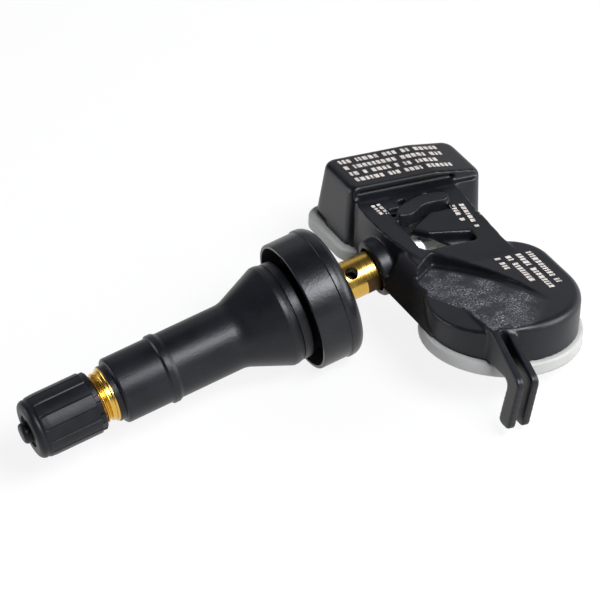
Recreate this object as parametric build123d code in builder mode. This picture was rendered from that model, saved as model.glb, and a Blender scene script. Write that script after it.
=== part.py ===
from build123d import *
import os
from math import cos, radians, sin, tan

# Tyre pressure sensor on a snap-in rubber valve, in millimetres.
# X runs along the valve from the cap to the sensor, Y towards the electronics box, Z up.
# The origin is on the valve's axis, in the plane of the flange's sealing rim.

os.makedirs("parts", exist_ok=True)

# Brass valve stem and its stations along X
rubber_front = -29.66
rubber_step = 0.89
shoulder_width = 0.3
shoulder_radius = 4.175
thread_radius = 3.85
thread_length = 9.75
thread_chamfer = 0.5
barrel_radius = 3.6
barrel_rear = 3.5
anchor_depth = 0.45
anchor_width = 1.2
anchor_pitch = 4.2
anchor_count = 4
anchor_first = -24.0
tail_radius = 3.025
tail_chamfer = 0.4
port_radius = 0.95
port_station = 10.4
port_turn = 32.0
flat_start = 11.4
flat_across = 5.3
flat_turn = 22.0

# Rubber body of the valve
body_radius = 5.1
body_edge = 0.45
edge_share = 0.8
step_radius = 4.35
ridge_front = -22.4
ridge_width = 1.7
ridge_height = 0.3
flare_start = -10.0
flare_radius = 7.9
flare_root = 4.0
flare_crest = 0.6
lip_front = -3.4
lip_width = 1.1
lip_bevel = 0.5
lip_edge = 0.2
seam_width = 0.3
seam_depth = 0.3
neck_root = 0.4
neck_radius = 7.4
groove_width = 1.0
skirt_depth = 2.6
skirt_lip = 0.55
skirt_radius = 10.05
skirt_edge = 0.2
parting_station = 4.67
flange_radius = 10.25
flange_rear = 7.1
flange_edge = 1.9

# Valve core in the stem's bore
core_recess = 0.7
core_head_radius = 2.55
core_head_length = 3.0
core_barrel_radius = 1.75
core_barrel_length = 6.7
core_fit = 0.1
core_slot_width = 0.9
core_slot_depth = 1.1
seat_depth = 5.0
seat_cone = 0.8
seat_bore_radius = 2.1
seat_bore_run = 8.0
gasket_front_run = 0.4
gasket_rear_run = 0.4
gasket_fit = 0.05
air_bore_radius = 1.2
air_bore_overrun = 0.3
pin_radius = 0.6
pin_recess = 0.3
pin_collar_radius = 1.05
pin_collar_width = 0.4
pin_rivet_radius = 0.95
pin_rivet_width = 0.4
pin_hole_radius = 0.8
spring_bore_radius = 1.3
spring_top_gap = 0.5
core_end_wall = 1.0
spring_wire = 0.22
spring_turns = 6
cup_radius = 1.6
cup_length = 1.5
cup_seat_gap = 0.05
cup_fit = 0.03

# Dust cap and its sealing disc
cap_mouth_gap = 1.85
cap_radius = 4.78
cap_band_radius = 4.5
cap_band_width = 1.0
cap_bore_fit = 0.12
cap_end_wall = 1.5
cap_end_edge = 1.1
cap_rim_width = 0.9
cap_rim_depth = 0.45
cap_nub_radius = 1.6
cap_nub_length = 1.75
cap_nub_edge = 0.7
cap_fine_edge = 0.15
flute_count = 14
flute_depth = 0.34
flute_radius = 0.55
flute_end_run = 1.6
cap_seal_thickness = 0.7
cap_seal_hole = 2.0
cap_seal_gap = 0.1

# Sensor housing: its deck leans down towards the back, and heights are measured square to the deck
deck_lean = 15.4
shell_bottom = 3.2
wall = 1.4
cavity_step = 0.8
disc_along = 24.0
disc_across = -20.0
disc_radius = 11.3
disc_top = 9.2
disc_edge = 1.2
hip_along = 29.0
hip_across = -13.5
hip_radius = 6.3
box_front = 13.0
box_back = 36.0
box_near = 6.8
box_far = 20.4
box_corner = 2.6
box_top_front = 13.3
box_top_back = 35.4
box_top_near = 7.4
box_top_far = 18.2
box_top_corner = 2.0
room_draft = 3.5
box_top = 13.0
box_edge = 1.2
crease_radius = 4.0
ledge_height = 11.0
ledge_depth = 0.85
slope_start = 27.6
slope_angle = 8.0
waist_back = 30.7
strip_box = 15.2
strip_middle = 14.6
strip_disc = 16.9
strip_inner = 17.6
strip_end_across = -10.0
strip_middle_across = -3.5
deck_rise = 1.3
deck_low_across = -12.0
deck_high_across = 4.0
roof_thickness = 1.2
under_near = -7.2
duct_wall = 27.5
duct_height = 2.2
duct_side = 0.6
window_near = -6.8
window_far = 4.6
window_back = 27.0
tongue_front = 18.9
tongue_tip_near = -2.7
tongue_tip_far = -1.2
tongue_flare = 23.4
tongue_far = 1.9
tongue_near = -4.6
window_corner = 0.9
boss_along = 23.4
boss_across = 6.4
boss_length = 9.0
boss_width = 3.4
boss_top = 10.9
boss_edge = 0.6
collar_front = 13.5
collar_length = 5.9
collar_radius = 4.4
collar_edge = 0.35
collar_web = 1.5
collar_mouth_radius = 3.45
collar_mouth_depth = 1.4
stem_fit = 0.12
driver_radius = 1.7
flank_foot = 12.4
flank_top = 15.2
flank_height = 9.3
flank_far = -4.8

# Sunk gritty patch on the battery disc and the bevel along the disc's front
patch_along = 28.5
patch_across = -25.9
patch_turn = 138.5
patch_slope = 5.4
patch_length = 19.4
patch_bow = 5.8
patch_bow_at = 11.5
patch_end_bow = 7.0
patch_reach = 16.0
bevel_along = 16.7
bevel_height = 8.0
bevel_slope = 12.0
bevel_near = -32.0
bevel_far = -10.6

# Fork of two legs on the battery disc
leg_front = 16.6
leg_width = 1.25
leg_pitch = 2.3
leg_root_across = -28.4
leg_bend_across = -38.2
leg_bend_height = 4.7
leg_bend_radius = 1.3
leg_under = 3.55
leg_inner_across = -35.2
leg_inner_radius = 0.9
leg_tip_across = -36.3
leg_tip_height = -4.0
leg_tip_depth = 2.9
leg_tip_edge = 0.7

# Pale base cover
cover_thickness = 2.2
cover_disc_margin = 0.75
cover_box_margin = 1.15
cover_edge = 0.35
cover_tab_width = 2.4
cover_tab_reach = 0.9
cover_post = 1.5
cover_post_inset = 1.3
air_hole_radius = 0.8

# Fixing screw
screw_radius = 1.45
screw_hole_radius = 1.5
screw_length = 6.6
screw_head_radius = 2.6
screw_head_length = 2.6
screw_head_edge = 0.4
screw_socket_radius = 1.35
screw_socket_depth = 1.3
screw_passage = 0.15

# Coin cell, its tabs and the circuit board
cell_radius = 10.0
cell_thickness = 3.2
cell_cap_radius = 8.8
cell_cap_height = 0.35
cell_edge = 0.4
cell_fit = 0.25
cell_roof_gap = 0.15
tab_thickness = 0.15
tab_width = 0.7
tab_gap = 0.3
tab_margin = 0.15
tab_root_across = -17.0
tab_drop_across = -9.6
tab_room = 0.3
tab_end_across = 10.6
board_thickness = 1.0
board_fit = 0.25
board_rise = 1.8
chip_along = 20.5
chip_across = 12.8
chip_size = 6.0
chip_edge = 0.25
port_seal_height = 0.35
port_seal_radius = 1.9
coil_along = 27.0
coil_across = 13.8
coil_length = 7.2
coil_height = 2.6
coil_flange = 0.9
coil_core_inset = 0.35
crystal_along = 19.5
crystal_across = 13.4
crystal_length = 3.2
crystal_width = 2.5
crystal_height = 0.8
crystal_edge = 0.3
capacitor_along = 26.4
capacitor_across = 11.2
capacitor_pitch = 2.0
capacitor_count = 4
capacitor_length = 1.6
capacitor_width = 0.8
capacitor_height = 0.8
antenna_front = 18.0
antenna_span = 13.0
antenna_across = 16.3
antenna_width = 0.8
antenna_height = 3.2
antenna_sheet = 0.3
antenna_bend = 0.8

# Stations that follow from the sizes above
shoulder_rear = rubber_front - rubber_step
shoulder_front = shoulder_rear - shoulder_width
stem_tip = shoulder_front - thread_length
collar_rear = collar_front + collar_length
stem_rear = collar_rear - collar_web
step_edge = min(body_edge, edge_share * (body_radius - step_radius))
lip_rear = lip_front + lip_width + lip_bevel
core_front = stem_tip + core_recess
core_head_rear = core_front + core_head_length
core_rear = core_head_rear + core_barrel_length
seat_front = stem_tip + seat_depth
seat_rear = seat_front + seat_cone
seat_bore_rear = core_rear + seat_bore_run
air_bore_rear = port_station + port_radius + air_bore_overrun
screw_front = collar_rear - screw_length
mouth_bore_radius = core_head_radius + core_fit
pin_front = stem_tip + pin_recess
spring_front = core_head_rear + spring_top_gap
spring_rear = core_rear - core_end_wall
cup_front = core_rear + cup_seat_gap
cup_rear = cup_front + cup_length
cap_mouth = shoulder_front - cap_mouth_gap
cap_seal_rear = stem_tip - cap_seal_gap
cap_inner = cap_seal_rear - cap_seal_thickness
cap_end = cap_inner - cap_end_wall
cap_bore_radius = thread_radius + cap_bore_fit
cap_nub_tip = cap_end - cap_nub_length

# Planes of the leaning housing: level with the deck, across it and along it
lean_sin = sin(radians(deck_lean))
lean_cos = cos(radians(deck_lean))
deck = Plane(origin=(0, 0, 0), x_dir=(lean_cos, 0, -lean_sin), z_dir=(lean_sin, 0, lean_cos))
deck_up = Axis((0, 0, 0), deck.z_dir)


def across_plane(along):
    return Plane(origin=deck.x_dir * along, x_dir=(0, 1, 0), z_dir=deck.x_dir)


def along_plane(across):
    return Plane(origin=(0, across, 0), x_dir=deck.x_dir, z_dir=(0, -1, 0))


def deck_height(across):
    share = (across - deck_low_across) / (deck_high_across - deck_low_across)
    return disc_top + deck_rise * share


cell_bottom = shell_bottom + tab_thickness
cell_top = cell_bottom + cell_thickness
cavity_top = cell_top + tab_thickness + cell_roof_gap
board_bottom = shell_bottom + board_rise
cover_bottom = shell_bottom - cover_thickness
board_top = board_bottom + board_thickness
box_along = (box_front + box_back) / 2
box_across = (box_near + box_far) / 2
box_length = box_back - box_front
box_width = box_far - box_near
near_lean = (box_top_near - box_near) / (box_top - shell_bottom)
ledge_across = box_near + (ledge_height - shell_bottom) * near_lean + ledge_depth
step_height = board_top
roof_drop = (box_back - slope_start) * tan(radians(slope_angle))
cavity_roof = box_top - roof_drop - wall
duct_inner_front = duct_wall + duct_side
duct_inner_back = waist_back - duct_side
positive_along = duct_inner_front + tab_margin
negative_along = positive_along + tab_width + tab_gap

# Brass stem: thread land, shoulder, anchored barrel, tail with cross port, flats and screw hole
with BuildPart() as valve_stem:
    with BuildSketch(Plane.XY):
        with BuildLine():
            Polyline(
                (stem_tip, 0),
                (stem_tip, thread_radius - thread_chamfer),
                (stem_tip + thread_chamfer, thread_radius),
                (shoulder_front, thread_radius),
                (shoulder_front, shoulder_radius),
                (shoulder_rear, shoulder_radius),
                (shoulder_rear, barrel_radius),
                (barrel_rear, barrel_radius),
                (barrel_rear, tail_radius),
                (stem_rear - tail_chamfer, tail_radius),
                (stem_rear, tail_radius - tail_chamfer),
                (stem_rear, 0),
                close=True,
            )
        make_face()
    revolve(axis=Axis.X)
    with BuildSketch(Plane.XY):
        for index in range(anchor_count):
            groove = anchor_first + index * anchor_pitch
            with Locations((groove, barrel_radius)):
                Rectangle(anchor_width, 2 * anchor_depth)
    revolve(axis=Axis.X, mode=Mode.SUBTRACT)
    with BuildSketch(Plane.XY):
        with BuildLine():
            Polyline(
                (stem_tip, 0),
                (stem_tip, mouth_bore_radius),
                (seat_front, mouth_bore_radius),
                (seat_rear, seat_bore_radius),
                (seat_bore_rear, seat_bore_radius),
                (seat_bore_rear, air_bore_radius),
                (air_bore_rear, air_bore_radius),
                (air_bore_rear, 0),
                close=True,
            )
        make_face()
    revolve(axis=Axis.X, mode=Mode.SUBTRACT)
    with BuildSketch(Plane.YZ.offset(screw_front)):
        Circle(screw_hole_radius)
    extrude(amount=stem_rear - screw_front, mode=Mode.SUBTRACT)
    with BuildSketch(Plane.YZ.offset(flat_start)):
        Rectangle(4 * tail_radius, 4 * tail_radius, rotation=flat_turn)
        Rectangle(flat_across, 4 * tail_radius, rotation=flat_turn, mode=Mode.SUBTRACT)
    extrude(amount=stem_rear - flat_start, mode=Mode.SUBTRACT)
    port_plane = Plane(
        origin=(port_station, 0, 0),
        x_dir=(1, 0, 0),
        z_dir=(0, -sin(radians(port_turn)), cos(radians(port_turn))),
    )
    with BuildSketch(port_plane):
        Circle(port_radius)
    extrude(amount=2 * tail_radius, both=True, mode=Mode.SUBTRACT)
valve_stem.part.label = "valve_stem"
export_step(valve_stem.part, "parts/valve_stem.step")

# Rubber body moulded round the stem: step, ringed cylinder, flared lip, rim groove and flange
with BuildPart() as valve_rubber:
    with BuildSketch(Plane.XY):
        with BuildLine():
            FilletPolyline(
                (shoulder_rear, 0),
                (shoulder_rear, step_radius),
                (rubber_front, step_radius),
                (rubber_front, body_radius),
                (flare_start, body_radius),
                (lip_front, flare_radius),
                (lip_front + lip_width, flare_radius),
                (lip_rear, neck_radius),
                (lip_rear + seam_width / 2, neck_radius - seam_depth),
                (lip_rear + seam_width, neck_radius),
                (skirt_depth, neck_radius),
                (skirt_depth, neck_radius + groove_width),
                (0, skirt_radius - skirt_lip),
                (0, skirt_radius),
                (parting_station, skirt_radius),
                (parting_station, flange_radius),
                (flange_rear, flange_radius),
                (flange_rear, 0),
                radius=[
                    0, 0, 0, step_edge, flare_root, flare_crest, lip_edge, 0, 0, 0, neck_root,
                    neck_root, 0, skirt_edge, 0, skirt_edge / 2, flange_edge, 0,
                ],
                close=True,
            )
        make_face()
    revolve(axis=Axis.X)
    with BuildSketch(Plane.XY):
        with BuildLine():
            ridge_rear = ridge_front + ridge_width
            ridge_crest = body_radius + ridge_height
            Polyline(
                (ridge_front, body_radius - ridge_height),
                (ridge_front, body_radius),
                (ridge_front + ridge_height, ridge_crest),
                (ridge_rear - 2 * ridge_height, ridge_crest),
                (ridge_rear, body_radius),
                (ridge_rear, body_radius - ridge_height),
                close=True,
            )
        make_face()
    revolve(axis=Axis.X)
    add(valve_stem.part, mode=Mode.SUBTRACT)
    with BuildSketch(Plane.YZ.offset(shoulder_rear)):
        Circle(barrel_radius - anchor_depth)
    extrude(amount=flange_rear - shoulder_rear, mode=Mode.SUBTRACT)
valve_rubber.part.label = "valve_rubber"
export_step(valve_rubber.part, "parts/valve_rubber.step")

# Valve core body: threaded head with key slots, barrel with a spring bore
with BuildPart() as core_body:
    with BuildSketch(Plane.XY):
        with BuildLine():
            Polyline(
                (core_front, pin_hole_radius),
                (core_front, core_head_radius - core_fit),
                (core_front + core_fit, core_head_radius),
                (core_head_rear, core_head_radius),
                (core_head_rear, core_barrel_radius),
                (core_rear, core_barrel_radius),
                (core_rear, pin_hole_radius),
                (spring_rear, pin_hole_radius),
                (spring_rear, spring_bore_radius),
                (core_head_rear, spring_bore_radius),
                (core_head_rear, pin_hole_radius),
                close=True,
            )
        make_face()
    revolve(axis=Axis.X)
    with BuildSketch(Plane.YZ.offset(core_front)):
        Rectangle(4 * core_head_radius, core_slot_width)
    extrude(amount=core_slot_depth, mode=Mode.SUBTRACT)
core_body.part.label = "core_body"
export_step(core_body.part, "parts/core_body.step")

# Sealing ring of the core on the stem's conical seat
with BuildPart() as core_gasket:
    with BuildSketch(Plane.XY):
        with BuildLine():
            gasket_front = seat_front - gasket_front_run
            gasket_rear = seat_rear + gasket_rear_run
            gasket_bore = core_barrel_radius + gasket_fit
            Polyline(
                (gasket_front, gasket_bore),
                (gasket_front, mouth_bore_radius - gasket_fit),
                (seat_front, mouth_bore_radius - gasket_fit),
                (seat_rear, seat_bore_radius - gasket_fit),
                (gasket_rear, seat_bore_radius - gasket_fit),
                (gasket_rear, gasket_bore),
                close=True,
            )
        make_face()
    revolve(axis=Axis.X)
core_gasket.part.label = "core_gasket"
export_step(core_gasket.part, "parts/core_gasket.step")

# Valve pin with its spring collar and the riveted end that holds the cup
with BuildPart() as core_pin:
    with BuildSketch(Plane.XY):
        with BuildLine():
            Polyline(
                (pin_front, 0),
                (pin_front, pin_radius),
                (spring_front - pin_collar_width, pin_radius),
                (spring_front - pin_collar_width, pin_collar_radius),
                (spring_front, pin_collar_radius),
                (spring_front, pin_radius),
                (cup_rear, pin_radius),
                (cup_rear, pin_rivet_radius),
                (cup_rear + pin_rivet_width, pin_rivet_radius),
                (cup_rear + pin_rivet_width, 0),
                close=True,
            )
        make_face()
    revolve(axis=Axis.X)
core_pin.part.label = "core_pin"
export_step(core_pin.part, "parts/core_pin.step")

# Rubber cup that closes the inner end of the core
with BuildPart() as core_cup_seal:
    with BuildSketch(Plane.YZ.offset(cup_front)):
        Circle(cup_radius)
        Circle(pin_radius + cup_fit, mode=Mode.SUBTRACT)
    extrude(amount=cup_length)
core_cup_seal.part.label = "core_cup_seal"
export_step(core_cup_seal.part, "parts/core_cup_seal.step")

# Coil spring between the pin's collar and the end wall of the core
spring_radius = (pin_radius + spring_bore_radius) / 2
spring_height = spring_rear - spring_front - spring_wire
with BuildPart() as core_spring:
    with BuildLine() as spring_path:
        Helix(
            pitch=spring_height / spring_turns,
            height=spring_height,
            radius=spring_radius,
            center=(spring_front + spring_wire / 2, 0, 0),
            direction=(1, 0, 0),
        )
    with BuildSketch(Plane(origin=spring_path.line @ 0, z_dir=spring_path.line % 0)):
        Circle(spring_wire / 2)
    sweep(is_frenet=True)
core_spring.part.label = "core_spring"
export_step(core_spring.part, "parts/core_spring.step")

# Dust cap: fluted skirt, plain band at the mouth, raised rim and nub on the end
with BuildPart() as valve_cap:
    with BuildSketch(Plane.XY):
        with BuildLine():
            rim_inner = cap_radius - cap_end_edge - cap_rim_width
            FilletPolyline(
                (cap_nub_tip, 0),
                (cap_nub_tip, cap_nub_radius),
                (cap_end + cap_rim_depth, cap_nub_radius),
                (cap_end + cap_rim_depth, rim_inner),
                (cap_end, rim_inner),
                (cap_end, cap_radius),
                (cap_mouth - cap_band_width, cap_radius),
                (cap_mouth - cap_band_width, cap_band_radius),
                (cap_mouth, cap_band_radius),
                (cap_mouth, cap_bore_radius),
                (cap_inner, cap_bore_radius),
                (cap_inner, 0),
                radius=[
                    0, cap_nub_edge, cap_fine_edge, 0, cap_fine_edge, cap_end_edge,
                    cap_fine_edge, 0, cap_fine_edge, 0, 0, 0,
                ],
                close=True,
            )
        make_face()
    revolve(axis=Axis.X)
    with BuildSketch(Plane.YZ.offset(cap_mouth - cap_band_width)):
        with PolarLocations(cap_radius - flute_depth + flute_radius, flute_count):
            Circle(flute_radius)
    extrude(amount=cap_end + flute_end_run - cap_mouth + cap_band_width, mode=Mode.SUBTRACT)
valve_cap.part.label = "valve_cap"
export_step(valve_cap.part, "parts/valve_cap.step")

# Rubber disc in the cap that seals on the stem's tip
with BuildPart() as cap_seal:
    with BuildSketch(Plane.YZ.offset(cap_inner)):
        Circle(cap_bore_radius - cap_bore_fit)
        Circle(cap_seal_hole, mode=Mode.SUBTRACT)
    extrude(amount=cap_seal_thickness)
cap_seal.part.label = "cap_seal"
export_step(cap_seal.part, "parts/cap_seal.step")

# Electronics box: drafted walls, a top that slopes down at the back, a ledge along the near side
with BuildPart() as box_body:
    with BuildSketch(deck.offset(shell_bottom)):
        with Locations((box_along, box_across)):
            RectangleRounded(box_length, box_width, box_corner)
    with BuildSketch(deck.offset(box_top)):
        with Locations(((box_top_front + box_top_back) / 2, (box_top_near + box_top_far) / 2)):
            RectangleRounded(box_top_back - box_top_front, box_top_far - box_top_near, box_top_corner)
    loft(ruled=True)
    with BuildSketch(along_plane(box_far)):
        with BuildLine():
            Polyline(
                (slope_start, box_top),
                (box_back, box_top - roof_drop),
                (box_back, 2 * box_top),
                (slope_start, 2 * box_top),
                close=True,
            )
        make_face()
    extrude(amount=box_width, mode=Mode.SUBTRACT)
    roof_faces = box_body.faces().filter_by_position(deck_up, box_top - roof_drop, box_top + 1)
    roof_faces = roof_faces.sort_by(SortBy.AREA)[-2:]
    crease = roof_faces[0].edges().sort_by(lambda edge: edge.distance_to(roof_faces[1].center()))[0]
    fillet(crease, crease_radius)
    least_upright = cos(radians(2 * slope_angle))
    roof_faces = [face for face in box_body.faces() if face.normal_at().dot(deck.z_dir) > least_upright]
    roof_edges = [edge for face in roof_faces for edge in face.edges()]
    rim = [edge for edge in roof_edges if sum(edge.is_same(other) for other in roof_edges) == 1]
    fillet(rim, box_edge)
    with BuildSketch(across_plane(box_front)):
        with BuildLine():
            crown_lean = (2 * box_top - ledge_height) * near_lean
            Polyline(
                (box_near, ledge_height),
                (ledge_across, ledge_height),
                (ledge_across + crown_lean, 2 * box_top),
                (box_near, 2 * box_top),
                close=True,
            )
        make_face()
    extrude(amount=box_length, mode=Mode.SUBTRACT)

# Waist between box and disc: front strip, thin roof with a window round its tongue, back wall
with BuildPart() as waist:
    with BuildSketch(deck.offset(shell_bottom)):
        with BuildLine():
            ThreePointArc(
                (strip_box, box_across),
                (strip_middle, strip_middle_across),
                (strip_disc, strip_end_across),
            )
            Polyline(
                (strip_disc, strip_end_across),
                (strip_disc, disc_across),
                (waist_back, disc_across),
                (waist_back, box_across),
                (strip_box, box_across),
            )
        make_face()
    extrude(amount=box_top - shell_bottom)
    with BuildSketch(across_plane(0)):
        with BuildLine():
            Polyline(
                (disc_across, disc_top),
                (deck_low_across, disc_top),
                (box_across, deck_height(box_across)),
                (box_across, 2 * box_top),
                (disc_across, 2 * box_top),
                close=True,
            )
        make_face()
    extrude(amount=box_back, mode=Mode.SUBTRACT)
    with BuildSketch(across_plane(strip_inner)):
        with BuildLine():
            Polyline(
                (under_near, 0),
                (under_near, deck_height(under_near) - roof_thickness),
                (box_near + wall, deck_height(box_near + wall) - roof_thickness),
                (box_near + wall, 0),
                close=True,
            )
        make_face()
    extrude(amount=duct_wall - strip_inner, mode=Mode.SUBTRACT)
    with BuildSketch(deck.offset(shell_bottom)):
        with Locations(((strip_inner + window_back) / 2, (window_near + window_far) / 2)):
            RectangleRounded(window_back - strip_inner, window_far - window_near, window_corner)
        with BuildLine():
            Polyline(
                (tongue_front, tongue_tip_near),
                (tongue_front, tongue_tip_far),
                (tongue_flare, tongue_far),
                (window_back, tongue_far),
                (window_back, tongue_near),
                close=True,
            )
        make_face(mode=Mode.SUBTRACT)
    extrude(amount=box_top, mode=Mode.SUBTRACT)

# Rounded boss on the near wall of the box, beside the window
with BuildPart() as boss:
    with BuildSketch(deck.offset(shell_bottom)):
        with Locations((boss_along, boss_across)):
            SlotOverall(boss_length, boss_width)
    extrude(amount=boss_top - shell_bottom)
    fillet(boss.faces().sort_by(deck_up)[-1].edges(), boss_edge)

# Housing shell: battery disc, waist, box, collar and fork in one moulding, hollow from below
with BuildPart() as sensor_housing:
    with BuildSketch(deck.offset(shell_bottom)):
        with Locations((disc_along, disc_across)):
            Circle(disc_radius)
        with Locations((hip_along, hip_across)):
            Circle(hip_radius)
        make_hull()
    extrude(amount=disc_top - shell_bottom)
    fillet(sensor_housing.faces().sort_by(deck_up)[-1].edges(), disc_edge)
    add(waist.part)
    with BuildSketch(along_plane(flank_far)):
        with BuildLine():
            Polyline(
                (flank_foot, shell_bottom),
                (flank_top, flank_height),
                (strip_inner, flank_height),
                (strip_inner, shell_bottom),
                close=True,
            )
        make_face()
    extrude(amount=flank_far - disc_across)
    ridge_end = Location((patch_along, patch_across, disc_top), (0, 0, patch_turn))
    patch_plane = Plane(deck.location * ridge_end * Location((0, 0, 0), (0, patch_slope, 0)))
    with BuildSketch(patch_plane):
        with BuildLine():
            ThreePointArc((0, 0), (patch_bow_at, -patch_bow), (patch_length, -patch_end_bow))
            Polyline(
                (patch_length, -patch_end_bow),
                (patch_length + 1, -patch_end_bow / 3),
                (patch_length + 1, patch_reach),
                (0, patch_reach),
                (0, 0),
            )
        make_face()
    extrude(amount=box_top, mode=Mode.SUBTRACT)
    with BuildSketch(along_plane(bevel_far)):
        with BuildLine():
            bevel_reach = disc_along - disc_radius - wall
            bevel_foot = bevel_height - (bevel_along - bevel_reach) * tan(radians(bevel_slope))
            Polyline(
                (bevel_along, bevel_height),
                (bevel_reach, bevel_foot),
                (bevel_reach, 2 * box_top),
                (bevel_along, 2 * box_top),
                close=True,
            )
        make_face()
    extrude(amount=bevel_far - bevel_near, mode=Mode.SUBTRACT)
    add(box_body.part)
    add(boss.part)
    with BuildSketch(Plane.XY):
        with BuildLine():
            Polyline(
                (collar_front, 0),
                (collar_front, collar_radius - collar_edge),
                (collar_front + collar_edge, collar_radius),
                (collar_rear, collar_radius),
                (collar_rear, 0),
                close=True,
            )
        make_face()
    revolve(axis=Axis.X)
    for leg in range(2):
        with BuildSketch(across_plane(leg_front + leg * leg_pitch)):
            with BuildLine():
                FilletPolyline(
                    (leg_root_across, leg_under),
                    (leg_root_across, disc_top),
                    (leg_bend_across, leg_bend_height),
                    (leg_tip_across, leg_tip_height),
                    (leg_tip_across + leg_tip_depth, leg_tip_height),
                    (leg_inner_across, leg_under),
                    radius=[0, 0, leg_bend_radius, leg_tip_edge, leg_tip_edge, leg_inner_radius],
                    close=True,
                )
            make_face()
        extrude(amount=leg_width)
    with BuildSketch(deck.offset(shell_bottom)):
        with Locations((disc_along, disc_across)):
            Circle(cell_radius + cell_fit)
    extrude(amount=cavity_top - shell_bottom, mode=Mode.SUBTRACT)
    with BuildSketch(deck.offset(shell_bottom)):
        with Locations((box_along, box_across)):
            RectangleRounded(box_length - 2 * wall, box_width - 2 * wall, box_corner - wall)
    extrude(amount=step_height - shell_bottom, taper=room_draft, mode=Mode.SUBTRACT)
    step_inset = wall + cavity_step + (step_height - shell_bottom) * tan(radians(room_draft))
    with BuildSketch(deck.offset(step_height)):
        room_near = box_near + step_inset
        room_far = box_top_far - wall
        with Locations((box_along, (room_near + room_far) / 2)):
            Rectangle(box_length - 2 * step_inset, room_far - room_near)
    extrude(amount=cavity_roof - step_height, taper=room_draft, mode=Mode.SUBTRACT)
    with BuildSketch(deck.offset(shell_bottom)):
        duct_near = disc_across + cell_radius / 2
        with Locations(((duct_inner_front + duct_inner_back) / 2, (duct_near + box_across) / 2)):
            Rectangle(duct_inner_back - duct_inner_front, box_across - duct_near)
    extrude(amount=duct_height, mode=Mode.SUBTRACT)
    with BuildSketch(deck.offset(shell_bottom)):
        well_far = tab_drop_across + tab_thickness + tab_room
        with Locations(((duct_inner_front + duct_inner_back) / 2, (duct_near + well_far) / 2)):
            Rectangle(duct_inner_back - duct_inner_front, well_far - duct_near)
    extrude(amount=cavity_top - shell_bottom, mode=Mode.SUBTRACT)
    with BuildSketch(Plane.YZ.offset(collar_front)):
        Circle(collar_mouth_radius)
    extrude(amount=collar_mouth_depth, mode=Mode.SUBTRACT)
    with BuildSketch(Plane.YZ.offset(collar_front)):
        Circle(tail_radius + stem_fit)
        Rectangle(flat_across + 2 * stem_fit, 4 * tail_radius, rotation=flat_turn, mode=Mode.INTERSECT)
    extrude(amount=stem_rear - collar_front, mode=Mode.SUBTRACT)
    with BuildSketch(Plane.YZ.offset(stem_rear)):
        Circle(screw_hole_radius + screw_passage)
    extrude(amount=collar_web, mode=Mode.SUBTRACT)
    with BuildSketch(Plane.YZ.offset(collar_rear + screw_head_length)):
        Circle(driver_radius)
    extrude(amount=box_back, mode=Mode.SUBTRACT)
sensor_housing.part.label = "sensor_housing"
export_step(sensor_housing.part, "parts/sensor_housing.step")

# Pale cover under the housing, with board posts and an air hole
with BuildPart() as base_cover:
    with BuildSketch(deck.offset(cover_bottom)):
        with Locations((disc_along, disc_across)):
            Circle(disc_radius + cover_disc_margin)
        with Locations((hip_along, hip_across)):
            Circle(hip_radius + cover_disc_margin)
        make_hull()
    extrude(amount=cover_thickness)
    fillet(base_cover.faces().sort_by(deck_up)[0].edges(), cover_edge)
    with BuildSketch(deck.offset(cover_bottom)):
        with Locations((box_along, box_across)):
            RectangleRounded(
                box_length + 2 * cover_box_margin,
                box_width + 2 * cover_box_margin,
                box_corner + cover_box_margin,
            )
    extrude(amount=cover_thickness)
    box_plate = base_cover.solids().sort_by(Axis.Y)[-1]
    fillet(box_plate.faces().sort_by(deck_up)[0].edges(), cover_edge)
    with BuildSketch(deck.offset(cover_bottom)):
        with Locations(((duct_wall + waist_back) / 2, (disc_across + box_across) / 2)):
            Rectangle(waist_back - duct_wall, box_across - disc_across)
        with Locations((disc_along + disc_radius + cover_disc_margin, disc_across)):
            Rectangle(2 * cover_tab_reach, cover_tab_width)
    extrude(amount=cover_thickness)
    with BuildSketch(deck.offset(shell_bottom)):
        post_span = 2 * (wall + cover_post_inset)
        with Locations((box_along, box_across)):
            with GridLocations(box_length - post_span, box_width - post_span, 2, 2):
                Circle(cover_post / 2)
    extrude(amount=board_rise)
    with BuildSketch(deck.offset(cover_bottom)):
        with Locations((chip_along, chip_across)):
            Circle(air_hole_radius)
    extrude(amount=cover_thickness, mode=Mode.SUBTRACT)
base_cover.part.label = "base_cover"
export_step(base_cover.part, "parts/base_cover.step")

# Screw that pulls the housing's collar onto the stem
with BuildPart() as fixing_screw:
    with BuildSketch(Plane.YZ.offset(screw_front)):
        Circle(screw_radius)
    extrude(amount=screw_length)
    with BuildSketch(Plane.YZ.offset(collar_rear)):
        Circle(screw_head_radius)
    extrude(amount=screw_head_length)
    fillet(fixing_screw.edges().sort_by(Axis.X)[-1], screw_head_edge)
    with BuildSketch(Plane.YZ.offset(collar_rear + screw_head_length)):
        RegularPolygon(screw_socket_radius, 6)
    extrude(amount=-screw_socket_depth, mode=Mode.SUBTRACT)
fixing_screw.part.label = "fixing_screw"
export_step(fixing_screw.part, "parts/fixing_screw.step")

# Coin cell: can with a smaller cap below
with BuildPart() as coin_cell:
    with BuildSketch(deck.offset(cell_bottom + cell_cap_height)):
        with Locations((disc_along, disc_across)):
            Circle(cell_radius)
    extrude(amount=cell_thickness - cell_cap_height)
    fillet(coin_cell.edges().sort_by(deck_up)[-1], cell_edge)
    with BuildSketch(deck.offset(cell_bottom)):
        with Locations((disc_along, disc_across)):
            Circle(cell_cap_radius)
    extrude(amount=cell_cap_height)
coin_cell.part.label = "coin_cell"
export_step(coin_cell.part, "parts/coin_cell.step")

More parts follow.
